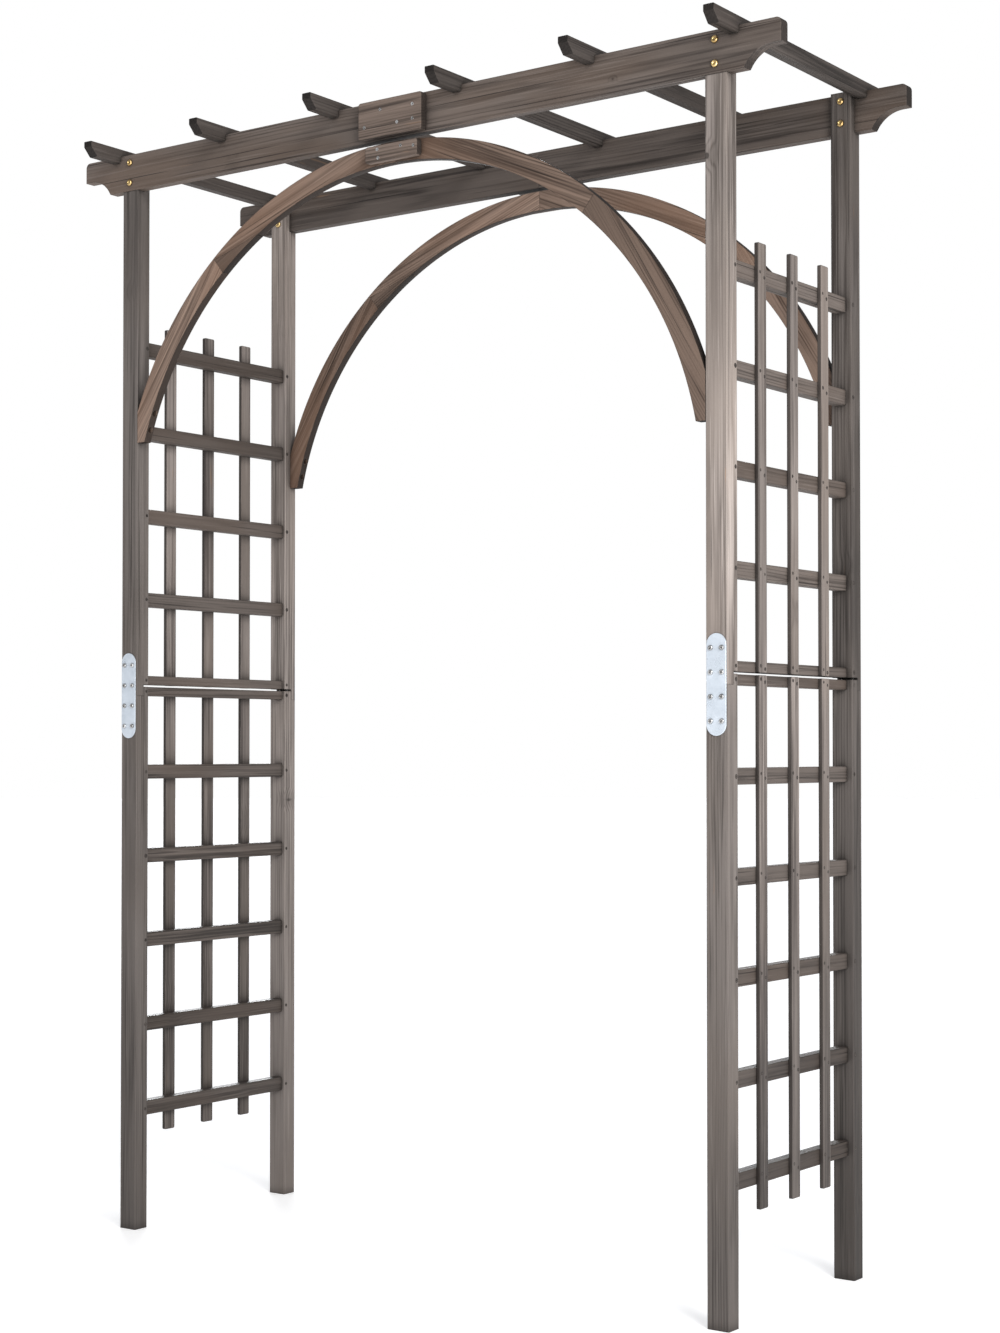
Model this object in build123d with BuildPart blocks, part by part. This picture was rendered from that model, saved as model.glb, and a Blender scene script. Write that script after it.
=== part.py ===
from build123d import *
from math import asin, atan2, cos, degrees, radians, sin, sqrt
import os

os.makedirs("parts", exist_ok=True)

# Timber garden arch with trellis sides. X runs along the beams, Y from front to back, Z up.
# The origin is on the ground, in the middle of the four posts.

# ---- driving dimensions, millimetres ----
frame_width = 1382.0      # over the outer faces of the posts
frame_depth = 476.0
post_x = 41.0             # post section
post_y = 33.5
post_height = 2125.0
arris = 2.0               # rounding of the long edges of a post

lap_outer_z = 1050.0      # mid-height half lap: level of the cut in the half away from the panel
lap_inner_z = 1068.0      # and in the half beside the panel
lap_gap = 4.0             # open gap between the lower and the upper trellis panel
lap_front_part = 20.0     # thickness of the front half of the lap, in every post

beam_length = 1588.0
beam_height = 72.0
beam_thickness = 22.0
beam_housing = 20.0       # depth of the housing in the post that takes the beam
beam_tip_height = 40.0
beam_tip_flat = 17.0
beam_cove_radius = 58.0
beam_tip_round = 10.0
beam_tip_underside_round = 3.0
beam_arris = 1.5

rafter_count = 6
rafter_span = 1412.0      # between the middles of the outermost rafters
rafter_length = 641.0
rafter_width = 20.0
rafter_height = 28.0
rafter_notch = 13.0
rafter_end_face = 11.0    # upright part of the tail's end, above its slanted cut
rafter_end_slant = 16.0
rafter_arris = 1.5

rung_thickness = 22.0
rung_height = 28.0
rung_inset = 12.0         # from the post's outer face to the rung's outer face
rung_first_z = 234.0
rung_pitch = 166.4
lower_rungs = 5
upper_rungs = 4
upper_rung_shift = 9.0    # the upper panel's rungs sit this much above the even pitch
meeting_rung_height = 18.0
tenon_thickness = 12.0
tenon_length = 12.0
tenon_shoulder = 4.0      # rung above and below the tenon
meeting_tenon_shoulder = 3.0
rung_arris = 1.5

slat_width = 28.0
slat_thickness = 7.0
slat_pitch = 111.5
slat_count = 3
slat_bottom_z = 179.0
slat_top_z = 1794.0
slat_corner = 3.0
slat_arris = 1.0
slat_pin_slant = (7.0, 4.0)  # of each pin from the middle of a crossing, along Y and Z

arch_outer_radius = 690.0
arch_inner_radius = 652.0
arch_thickness = 18.0
arch_under_beam = 6.0     # gap between the crown and the underside of the beam
arch_joint_angle = 39.5   # from the crown to the joint between upper and lower segments
# each arch is fitted by hand: a little off centre, with its feet cut at their own levels
arch_fits = {
    "front": {"shift": -8.0, "left": 1550.0, "right": 1484.0},
    "rear": {"shift": 6.0, "left": 1502.0, "right": 1529.0},
}
wedge_angle = 9.5         # length of the glued wedge along the arch
wedge_outer_margin = 4.0
foot_seat_depth = 11.0    # from the post's face to the seat of a foot screw
foot_screw_rises = (24.0, 56.0)
joint_screw_depth = 16.0  # of the joint screw's head, in from the arch's inner edge
joint_screw_angle = 37.9  # where that head sits, from the crown
joint_screw_slope = 43.5  # how steeply the screw is driven, below level
pocket_radius = 5.5

mending_width = 37.0
mending_height = 168.0
mending_thickness = 2.0
mending_arris = 0.5
mending_rows = 4
mending_row_pitch = 40.0
mending_column_pitch = 21.0

beam_splice_size = (146.0, 15.0, 68.0)
arch_splice_size = (120.0, 13.0, 30.0)
splice_corner = 5.0
splice_arris = 1.5
arch_splice_drop = 1.5    # below the middle of the arch's width

bolt_below_top = (16.0, 56.0)
bolt_radius = 3.0
bolt_head_radius = 6.5
bolt_head_height = 4.0
nut_across_flats = 10.0
nut_height = 5.0
washer_radius = 8.0
washer_thickness = 1.5
bolt_end_proud = 2.0      # of the bolt past its nut
head_dome_share = 0.8     # a domed head passes through this share of its radius and height

# ---- derived places ----
post_middle_x = (frame_width - post_x) / 2
post_middle_y = (frame_depth - post_y) / 2
post_inner_x = frame_width / 2 - post_x
post_inner_y = frame_depth / 2 - post_y
beam_bottom_z = post_height - beam_height
beam_proud = beam_thickness - beam_housing
beam_middle_y = frame_depth / 2 + beam_proud - beam_thickness / 2
rung_middle_x = frame_width / 2 - rung_inset - rung_thickness / 2
arch_centre_z = beam_bottom_z - arch_under_beam - arch_outer_radius
arch_middle_y = (frame_depth - arch_thickness) / 2
sides = {"left": -1, "right": 1}
ends = {"front": -1, "rear": 1}
halves = ("lower", "upper")


# ---- fasteners, each drawn once, driven along its own +Z with its seat at the origin ----
def turned(outline_points, dome=None):
    """A turned piece from an outline of (radius, height) points beside its axis."""
    with BuildPart() as piece:
        with BuildSketch(Plane.XZ):
            with BuildLine():
                Polyline(*outline_points)
                if dome:
                    ThreePointArc(outline_points[-1], dome, outline_points[0])
                else:
                    Line(outline_points[-1], outline_points[0])
            make_face()
        revolve(axis=Axis.Z)
    return piece.part


def countersunk_screw(head_radius, shank_radius, length):
    head_depth = head_radius - shank_radius
    return turned([(0, 0), (head_radius, 0), (shank_radius, head_depth), (shank_radius, length), (0, length)])


def plain_pin(radius, length):
    return turned([(0, 0), (radius, 0), (radius, length), (0, length)])


def pan_head_screw(head_radius, head_height, shank_radius, length):
    outline = [(head_radius, 0), (shank_radius, 0), (shank_radius, length), (0, length), (0, -head_height)]
    return turned(outline, dome=(head_radius * head_dome_share, -head_height * head_dome_share))


bolt_grip = beam_thickness + post_y - beam_housing
bolt_length = bolt_grip + washer_thickness + nut_height + bolt_end_proud
beam_bolt = pan_head_screw(bolt_head_radius, bolt_head_height, bolt_radius, bolt_length)
mending_screw = pan_head_screw(head_radius=4.5, head_height=2.6, shank_radius=2.0, length=18.0)
splice_screw = countersunk_screw(head_radius=3.2, shank_radius=1.8, length=28.0)
arch_plate_screw = countersunk_screw(head_radius=3.0, shank_radius=1.6, length=26.0)
rafter_screw = countersunk_screw(head_radius=4.0, shank_radius=2.0, length=45.0)
rung_screw_outer = countersunk_screw(head_radius=2.4, shank_radius=1.4, length=20.0)
rung_screw_inner = countersunk_screw(head_radius=2.4, shank_radius=1.4, length=18.0)
slat_pin = plain_pin(radius=1.4, length=17.0)
foot_screw = pan_head_screw(head_radius=4.0, head_height=2.6, shank_radius=2.0, length=26.0)
joint_screw = pan_head_screw(head_radius=3.6, head_height=2.4, shank_radius=1.8, length=36.0)

with BuildPart() as nut_builder:
    with BuildSketch():
        Circle(washer_radius)
    extrude(amount=washer_thickness)
    with BuildSketch(Plane.XY.offset(washer_thickness)):
        RegularPolygon(nut_across_flats / 2, 6, major_radius=False)
    extrude(amount=nut_height)
    Hole(bolt_radius)
beam_nut = nut_builder.part


# ---- places of the fasteners: each plane's Z points the way the fastener is driven ----
def spot(point, direction):
    return Plane(origin=point, z_dir=direction)


def bolt_spots(side, end):
    head_y = -(frame_depth / 2 + beam_proud) if end < 0 else post_inner_y
    return [spot((side * post_middle_x, head_y, post_height - drop), (0, 1, 0)) for drop in bolt_below_top]


def nut_spots(side, end):
    return [spot(bolt.origin + Vector(0, bolt_grip, 0), (0, 1, 0)) for bolt in bolt_spots(side, end)]


def mending_spots(side, end):
    plate_face_y = end * (frame_depth / 2 + mending_thickness)
    rows = [(row - (mending_rows - 1) / 2) * mending_row_pitch for row in range(mending_rows)]
    columns = (-mending_column_pitch / 2, mending_column_pitch / 2)
    return [
        spot((side * post_middle_x + column, plate_face_y, lap_outer_z + row), (0, -end, 0))
        for row in rows
        for column in columns
    ]


def rung_levels(half):
    """Height of the middle of each rung in one half panel, with the rung's own height."""
    if half == "lower":
        levels = [(rung_first_z + k * rung_pitch, rung_height) for k in range(lower_rungs)]
        return levels + [(lap_inner_z - meeting_rung_height / 2, meeting_rung_height)]
    first = rung_first_z + (lower_rungs + 1) * rung_pitch + upper_rung_shift
    levels = [(first + k * rung_pitch, rung_height) for k in range(upper_rungs)]
    return [(lap_inner_z + lap_gap + meeting_rung_height / 2, meeting_rung_height)] + levels


def rung_screw_spots(side, end, half, outer):
    """Screws that pin a rung's tenon, from the post's outer or inner face."""
    face_x = side * (frame_width / 2 if outer else post_inner_x)
    direction = (-side if outer else side, 0, 0)
    y = end * (post_inner_y + tenon_length / 2)
    return [spot((face_x, y, z), direction) for z, _ in rung_levels(half)]


def slat_y(index):
    return (index - (slat_count - 1) / 2) * slat_pitch


def slat_pin_spots(side, half, slats=range(slat_count)):
    """Two pins at each crossing, set on a slant that narrows with the rung."""
    face_x = side * (frame_width / 2 - rung_inset + slat_thickness)
    aside, rise = slat_pin_slant
    levels = rung_levels(half)
    crossings = [(slat_y(index), z, height / rung_height) for index in slats for z, height in levels]
    return [
        spot((face_x, y + sign * aside, z - sign * side * rise * share), (-side, 0, 0))
        for y, z, share in crossings
        for sign in (-1, 1)
    ]


def rafter_x(index):
    return (index / (rafter_count - 1) - 0.5) * rafter_span


def rafter_top_z():
    return post_height + rafter_height - rafter_notch


def rafter_screw_spots(indexes, beam_ends=tuple(ends.values())):
    return [
        spot((rafter_x(i), end * beam_middle_y, rafter_top_z()), (0, 0, -1))
        for i in indexes
        for end in beam_ends
    ]


beam_splice_screws = ((-59, -12), (-22, 16), (17, -13), (52, 14), (52, -12))
arch_splice_screws = ((-32, 8), (-30, -8), (22, 7), (51, 3))


def splice_face_y(end, plate):
    back = frame_depth / 2 + (beam_proud if plate is beam_splice_size else 0)
    return end * (back + plate[1])


def splice_middle_z(plate):
    if plate is beam_splice_size:
        return post_height - beam_height / 2
    return arch_centre_z + (arch_outer_radius + arch_inner_radius) / 2 - arch_splice_drop


def splice_spots(end, plate, pattern):
    return [
        spot((x, splice_face_y(end, plate), splice_middle_z(plate) + z), (0, -end, 0)) for x, z in pattern
    ]


def fit_of(end):
    return arch_fits["front" if end < 0 else "rear"]


def foot_z(side, end):
    return fit_of(end)["left" if side < 0 else "right"]


def foot_spots(side, end):
    """Two screws through the foot of an arch into the post, each at the bottom of a pocket."""
    seat_x = side * (post_inner_x - foot_seat_depth)
    levels = [foot_z(side, end) + rise for rise in foot_screw_rises]
    return [spot((seat_x, end * arch_middle_y, z), (side, 0, 0)) for z in levels]


def on_arch(end, radius, angle):
    """Point in an arch's own X-Z plane, by radius and angle from the crown, positive to the right."""
    return (fit_of(end)["shift"] + radius * sin(radians(angle)), arch_centre_z + radius * cos(radians(angle)))


def joint_spot(side, end):
    """Screw across the joint, from a pocket in the inner edge of the upper segment."""
    x, z = on_arch(end, arch_inner_radius + joint_screw_depth, side * joint_screw_angle)
    slope = radians(joint_screw_slope)
    return spot((x, end * arch_middle_y, z), (side * cos(slope), 0, -sin(slope)))


def take_out(fastener, spots):
    """Make room in the open part for a set of fasteners."""
    with Locations(*spots):
        add(fastener, mode=Mode.SUBTRACT)


def pocket(radius, spots, depth=60.0):
    """Open a round pocket above the head of each fastener."""
    with Locations(*spots):
        Cylinder(radius, depth, align=(Align.CENTER, Align.CENTER, Align.MAX), mode=Mode.SUBTRACT)


def save(part, name):
    part.label = name
    export_step(part, f"parts/{name}.step")


def save_group(fastener_spots, name):
    """Write identical loose fasteners as one node of separate solids."""
    with BuildPart() as group:
        for fastener, spots in fastener_spots:
            with Locations(*spots):
                add(fastener)
    save(group.part, name)


# ---- posts ----
def post_half(side_name, end_name, half):
    side, end = sides[side_name], ends[end_name]
    x, y = side * post_middle_x, end * post_middle_y
    bottom, top = (0, lap_inner_z) if half == "lower" else (lap_outer_z, post_height)
    lap_y = end * post_middle_y - post_y / 2 + lap_front_part
    outer_depth = abs(end * frame_depth / 2 - lap_y)
    inner_depth = post_y - outer_depth
    with BuildPart() as post:
        with BuildSketch(Plane.XY.offset(bottom)):
            with Locations((x, y)):
                RectangleRounded(post_x, post_y, arris)
        extrude(amount=top - bottom)
        if half == "lower":
            with Locations((x, lap_y + end * outer_depth / 2, lap_outer_z)):
                Box(post_x, outer_depth, lap_inner_z - lap_outer_z,
                    align=(Align.CENTER, Align.CENTER, Align.MIN), mode=Mode.SUBTRACT)
        else:
            with Locations((x, lap_y - end * inner_depth / 2, lap_outer_z)):
                Box(post_x, inner_depth, lap_inner_z + lap_gap - lap_outer_z,
                    align=(Align.CENTER, Align.CENTER, Align.MIN), mode=Mode.SUBTRACT)
            with Locations((x, end * (frame_depth / 2 - beam_housing / 2), beam_bottom_z)):
                Box(post_x, beam_housing, beam_height,
                    align=(Align.CENTER, Align.CENTER, Align.MIN), mode=Mode.SUBTRACT)
            take_out(beam_bolt, bolt_spots(side, end))
            take_out(foot_screw, foot_spots(side, end))
        for z, height in rung_levels(half):
            shoulder = tenon_shoulder if height == rung_height else meeting_tenon_shoulder
            with Locations((side * rung_middle_x, end * (post_inner_y + tenon_length / 2), z)):
                Box(tenon_thickness, tenon_length, height - 2 * shoulder, mode=Mode.SUBTRACT)
        take_out(mending_screw, mending_spots(side, end))
        take_out(rung_screw_outer, rung_screw_spots(side, end, half, True))
        take_out(rung_screw_inner, rung_screw_spots(side, end, half, False))
    save(post.part, f"{end_name}_{side_name}_post_{half}")


# ---- trellis panels ----
def rung_set(side_name, half):
    """The rungs of one half panel, with stub tenons that enter the posts."""
    side = sides[side_name]
    with BuildPart() as rungs:
        for z, height in rung_levels(half):
            shoulder = tenon_shoulder if height == rung_height else meeting_tenon_shoulder
            with BuildSketch(Plane.XZ.offset(-post_inner_y)):
                with Locations((side * rung_middle_x, z)):
                    RectangleRounded(rung_thickness, height, rung_arris)
            extrude(amount=2 * post_inner_y)
            with Locations((side * rung_middle_x, 0, z)):
                Box(tenon_thickness, 2 * (post_inner_y + tenon_length), height - 2 * shoulder)
        for end in ends.values():
            take_out(rung_screw_outer, rung_screw_spots(side, end, half, True))
            take_out(rung_screw_inner, rung_screw_spots(side, end, half, False))
        take_out(slat_pin, slat_pin_spots(side, half))
    save(rungs.part, f"{side_name}_rungs_{half}")


def slat(side_name, half, index):
    side = sides[side_name]
    meeting_z = lap_inner_z if half == "lower" else lap_inner_z + lap_gap
    bottom, top = (slat_bottom_z, meeting_z) if half == "lower" else (meeting_z, slat_top_z)
    inner_x = frame_width / 2 - rung_inset
    with BuildPart() as lath:
        with BuildSketch(Plane.YZ.offset(side * inner_x)):
            with Locations((slat_y(index), (bottom + top) / 2)):
                RectangleRounded(slat_width, top - bottom, slat_corner)
        extrude(amount=side * slat_thickness)
        outer_face = lath.faces().filter_by(Axis.X).sort_by(Axis.X)[-1 if side > 0 else 0]
        fillet(outer_face.edges(), slat_arris)
        take_out(slat_pin, slat_pin_spots(side, half, [index]))
    place = ("front", "middle", "rear")[index]
    save(lath.part, f"{side_name}_slat_{place}_{half}")


# ---- beams and rafters ----
def beam_half(side_name, end_name):
    """Half of a beam, with its coved tail outside the post and a square butt at the middle."""
    side, end = sides[side_name], ends[end_name]
    tip_x = beam_length / 2
    tip_z = post_height - beam_tip_height
    cove_start = tip_x - beam_tip_flat
    cove_drop = beam_height - beam_tip_height
    cove_run = sqrt(beam_cove_radius**2 - (beam_cove_radius - cove_drop) ** 2)
    half_way = asin(cove_run / beam_cove_radius) / 2
    cove_middle = (
        cove_start - beam_cove_radius * sin(half_way),
        tip_z - beam_cove_radius * (1 - cos(half_way)),
    )
    with BuildPart() as beam:
        with BuildSketch(Plane.XZ.offset(-(beam_middle_y * end - beam_thickness / 2))) as outline:
            with BuildLine():
                Polyline((0, beam_bottom_z), (0, post_height), (tip_x, post_height), (tip_x, tip_z),
                         (cove_start, tip_z))
                ThreePointArc((cove_start, tip_z), cove_middle, (cove_start - cove_run, beam_bottom_z))
                Line((cove_start - cove_run, beam_bottom_z), (0, beam_bottom_z))
            make_face()
            tip = outline.vertices().group_by(Axis.X)[-1].sort_by(Axis.Y)
            fillet(tip[-1], beam_tip_round)
            fillet(tip[0], beam_tip_underside_round)
            if side < 0:
                mirror(about=Plane.YZ, mode=Mode.REPLACE)
        extrude(amount=-beam_thickness)
        long_edges = beam.edges().filter_by(Axis.X).filter_by(lambda edge: edge.length > beam_length / 3)
        fillet(long_edges, beam_arris)
        take_out(beam_bolt, bolt_spots(side, end))
        near = [i for i in range(rafter_count) if rafter_x(i) * side > 0]
        take_out(rafter_screw, rafter_screw_spots(near, (end,)))
        pattern = [p for p in beam_splice_screws if p[0] * side > 0]
        take_out(splice_screw, splice_spots(end, beam_splice_size, pattern))
    save(beam.part, f"{end_name}_beam_{side_name}")


def rafter(index):
    """Cross rafter, notched over both beams, with slanted tails."""
    tip_y = rafter_length / 2
    bottom_z = rafter_top_z() - rafter_height
    slant_y = tip_y - rafter_end_slant
    with BuildPart() as bar:
        with BuildSketch(Plane.YZ.offset(rafter_x(index) - rafter_width / 2)):
            with BuildLine():
                Polyline(
                    (-tip_y, rafter_top_z()), (tip_y, rafter_top_z()),
                    (tip_y, rafter_top_z() - rafter_end_face), (slant_y, bottom_z),
                    (-slant_y, bottom_z), (-tip_y, rafter_top_z() - rafter_end_face),
                    close=True,
                )
            make_face()
        extrude(amount=rafter_width)
        top_edges = bar.faces().sort_by(Axis.Z)[-1].edges().filter_by(Axis.Y)
        bottom_edges = bar.faces().sort_by(Axis.Z)[0].edges().filter_by(Axis.Y)
        fillet(top_edges + bottom_edges, rafter_arris)
        with Locations(*[(rafter_x(index), end * beam_middle_y, bottom_z) for end in ends.values()]):
            Box(rafter_width, beam_thickness, rafter_notch,
                align=(Align.CENTER, Align.CENTER, Align.MIN), mode=Mode.SUBTRACT)
        take_out(rafter_screw, rafter_screw_spots([index]))
    save(bar.part, f"rafter_{index + 1}")


# ---- arches ----
def arch_piece(end, outline_maker):
    """Board cut to an outline in the arch's plane."""
    with BuildPart() as board:
        with BuildSketch(Plane.XZ.offset(-(end * arch_middle_y - arch_thickness / 2))):
            with BuildLine():
                outline_maker()
            make_face()
        extrude(amount=-arch_thickness)
    return board.part


def arch_arc(end, radius, angle_from, angle_to):
    middle = (angle_from + angle_to) / 2
    ThreePointArc(*[on_arch(end, radius, angle) for angle in (angle_from, middle, angle_to)])


def upper_outline(side, end):
    """From the butt at the crown to the joint."""
    crown = degrees(asin(-fit_of(end)["shift"] / arch_outer_radius))
    crown_inner = degrees(asin(-fit_of(end)["shift"] / arch_inner_radius))
    joint = side * arch_joint_angle
    arch_arc(end, arch_outer_radius, crown, joint)
    Line(on_arch(end, arch_outer_radius, joint), on_arch(end, arch_inner_radius, joint))
    arch_arc(end, arch_inner_radius, joint, crown_inner)
    Line(on_arch(end, arch_inner_radius, crown_inner), on_arch(end, arch_outer_radius, crown))


def lower_outline(side, end):
    """From the joint down to a foot cut flat against the post and level underneath."""
    joint = side * arch_joint_angle
    reach = side * post_inner_x - fit_of(end)["shift"]
    touch = degrees(asin(reach / arch_outer_radius))
    foot_rise = foot_z(side, end) - arch_centre_z
    foot_angle = side * degrees(atan2(sqrt(arch_inner_radius**2 - foot_rise**2), foot_rise))
    arch_arc(end, arch_outer_radius, joint, touch)
    Polyline(
        on_arch(end, arch_outer_radius, touch),
        (side * post_inner_x, foot_z(side, end)),
        on_arch(end, arch_inner_radius, foot_angle),
    )
    arch_arc(end, arch_inner_radius, foot_angle, joint)
    Line(on_arch(end, arch_inner_radius, joint), on_arch(end, arch_outer_radius, joint))


def wedge_outline(end):
    """Glued make-up wedge on the inner edge of the left upper segment, beside the joint."""
    joint, tip = -arch_joint_angle, -(arch_joint_angle - wedge_angle)
    shoulder = on_arch(end, arch_outer_radius - wedge_outer_margin, joint)
    Line(shoulder, on_arch(end, arch_inner_radius, tip))
    arch_arc(end, arch_inner_radius, tip, joint)
    Line(on_arch(end, arch_inner_radius, joint), shoulder)


def joint_hardware(side, end):
    pocket(pocket_radius, [joint_spot(side, end)])
    take_out(joint_screw, [joint_spot(side, end)])


def arch_upper(side_name, end_name):
    side, end = sides[side_name], ends[end_name]
    with BuildPart() as segment:
        add(arch_piece(end, lambda: upper_outline(side, end)))
        if side < 0:
            add(arch_piece(end, lambda: wedge_outline(end)), mode=Mode.SUBTRACT)
        joint_hardware(side, end)
        pattern = [p for p in arch_splice_screws if p[0] * side > 0]
        take_out(arch_plate_screw, splice_spots(end, arch_splice_size, pattern))
    save(segment.part, f"{end_name}_arch_upper_{side_name}")


def arch_wedge(end_name):
    end = ends[end_name]
    with BuildPart() as wedge:
        add(arch_piece(end, lambda: wedge_outline(end)))
        joint_hardware(-1, end)
    save(wedge.part, f"{end_name}_arch_wedge")


def arch_lower(side_name, end_name):
    side, end = sides[side_name], ends[end_name]
    with BuildPart() as segment:
        add(arch_piece(end, lambda: lower_outline(side, end)))
        pocket(pocket_radius, foot_spots(side, end))
        take_out(foot_screw, foot_spots(side, end))
        take_out(joint_screw, [joint_spot(side, end)])
    save(segment.part, f"{end_name}_arch_lower_{side_name}")


# ---- plates ----
def mending_plate(side_name, end_name):
    """Galvanised strap with rounded ends, screwed over the half lap."""
    side, end = sides[side_name], ends[end_name]
    face_plane = Plane((side * post_middle_x, end * frame_depth / 2, lap_outer_z), (1, 0, 0), (0, end, 0))
    with BuildPart() as plate:
        with BuildSketch(face_plane):
            SlotOverall(mending_height, mending_width, rotation=90)
        extrude(amount=mending_thickness)
        face = plate.faces().sort_by(Axis.Y)[0 if end < 0 else -1]
        fillet(face.edges(), mending_arris)
        take_out(mending_screw, mending_spots(side, end))
    save(plate.part, f"{end_name}_{side_name}_mending_plate")


def splice_plate(end_name, size, screw, pattern, name):
    end = ends[end_name]
    width, thickness, height = size
    face_y = splice_face_y(end, size)
    face_plane = Plane((0, face_y, splice_middle_z(size)), (1, 0, 0), (0, -end, 0))
    with BuildPart() as plate:
        with BuildSketch(face_plane):
            RectangleRounded(width, height, splice_corner)
        extrude(amount=thickness)
        outer = plate.faces().sort_by(Axis.Y)[0 if end < 0 else -1]
        fillet(outer.edges(), splice_arris)
        take_out(screw, splice_spots(end, size, pattern))
    save(plate.part, f"{end_name}_{name}")


# ---- build every piece ----
for end_name in ends:
    for side_name in sides:
        for half in halves:
            post_half(side_name, end_name, half)
        beam_half(side_name, end_name)
        arch_upper(side_name, end_name)
        arch_lower(side_name, end_name)
        mending_plate(side_name, end_name)
    arch_wedge(end_name)
    splice_plate(end_name, beam_splice_size, splice_screw, beam_splice_screws, "beam_splice_plate")
    splice_plate(end_name, arch_splice_size, arch_plate_screw, arch_splice_screws, "arch_splice_plate")

for side_name in sides:
    for half in halves:
        rung_set(side_name, half)
        for index in range(slat_count):
            slat(side_name, half, index)

for index in range(rafter_count):
    rafter(index)

corners = [(side, end) for side in sides.values() for end in ends.values()]
save_group([(beam_bolt, bolt_spots(*corner)) for corner in corners], "beam_bolts")
save_group([(beam_nut, nut_spots(*corner)) for corner in corners], "beam_nuts")
save_group([(mending_screw, mending_spots(*corner)) for corner in corners], "mending_plate_screws")
save_group(
    [(rung_screw_outer, rung_screw_spots(*corner, half, True)) for corner in corners for half in halves]
    + [(rung_screw_inner, rung_screw_spots(*corner, half, False)) for corner in corners for half in halves],
    "rung_screws",
)
save_group(
    [(slat_pin, slat_pin_spots(side, half)) for side in sides.values() for half in halves],
    "slat_pins",
)
save_group([(rafter_screw, rafter_screw_spots(range(rafter_count)))], "rafter_screws")
save_group(
    [(splice_screw, splice_spots(end, beam_splice_size, beam_splice_screws)) for end in ends.values()]
    + [(arch_plate_screw, splice_spots(end, arch_splice_size, arch_splice_screws)) for end in ends.values()],
    "splice_screws",
)
save_group(
    [(foot_screw, foot_spots(*corner)) for corner in corners]
    + [(joint_screw, [joint_spot(*corner)]) for corner in corners],
    "arch_screws",
)
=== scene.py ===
import bmesh
import bpy
import math
import random
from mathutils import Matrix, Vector


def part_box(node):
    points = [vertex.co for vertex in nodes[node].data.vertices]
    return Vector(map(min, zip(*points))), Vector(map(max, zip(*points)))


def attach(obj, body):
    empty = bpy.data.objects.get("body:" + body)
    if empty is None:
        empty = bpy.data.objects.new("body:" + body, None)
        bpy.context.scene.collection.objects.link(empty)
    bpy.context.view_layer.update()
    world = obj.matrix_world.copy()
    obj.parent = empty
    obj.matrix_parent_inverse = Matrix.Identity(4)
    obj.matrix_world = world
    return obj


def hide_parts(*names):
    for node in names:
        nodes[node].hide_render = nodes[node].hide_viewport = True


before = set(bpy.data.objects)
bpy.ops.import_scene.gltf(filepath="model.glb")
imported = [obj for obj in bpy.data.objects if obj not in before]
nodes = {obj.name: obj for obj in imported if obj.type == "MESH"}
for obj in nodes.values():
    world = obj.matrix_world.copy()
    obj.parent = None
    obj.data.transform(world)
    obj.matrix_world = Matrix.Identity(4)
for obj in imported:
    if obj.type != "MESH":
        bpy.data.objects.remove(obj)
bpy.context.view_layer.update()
print("frame loaded:", len(nodes), "nodes")


# camera first, so that every look is judged from the right place
view = {
    "place": (2.5601, -3.4621, 0.9443),
    "upTilt": 1.133,
    "turn": 36.013,
    "lens": 61.55,
    "sensor": 36,
    "shift": (0.0062, 0.0282),
    "sees": 200,  # metres
}


def setCamera():
    camera = bpy.data.objects.new("camera", bpy.data.cameras.new("camera"))
    bpy.context.scene.collection.objects.link(camera)
    camera.location = view["place"]
    camera.rotation_euler = (math.radians(90 + view["upTilt"]), 0, math.radians(view["turn"]))
    camera.data.lens = view["lens"]
    camera.data.sensor_width = view["sensor"]
    camera.data.shift_x, camera.data.shift_y = view["shift"]
    camera.data.dof.use_dof = False
    camera.data.clip_end = view["sees"]
    bpy.context.scene.camera = camera


setCamera()
print("camera set")


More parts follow.
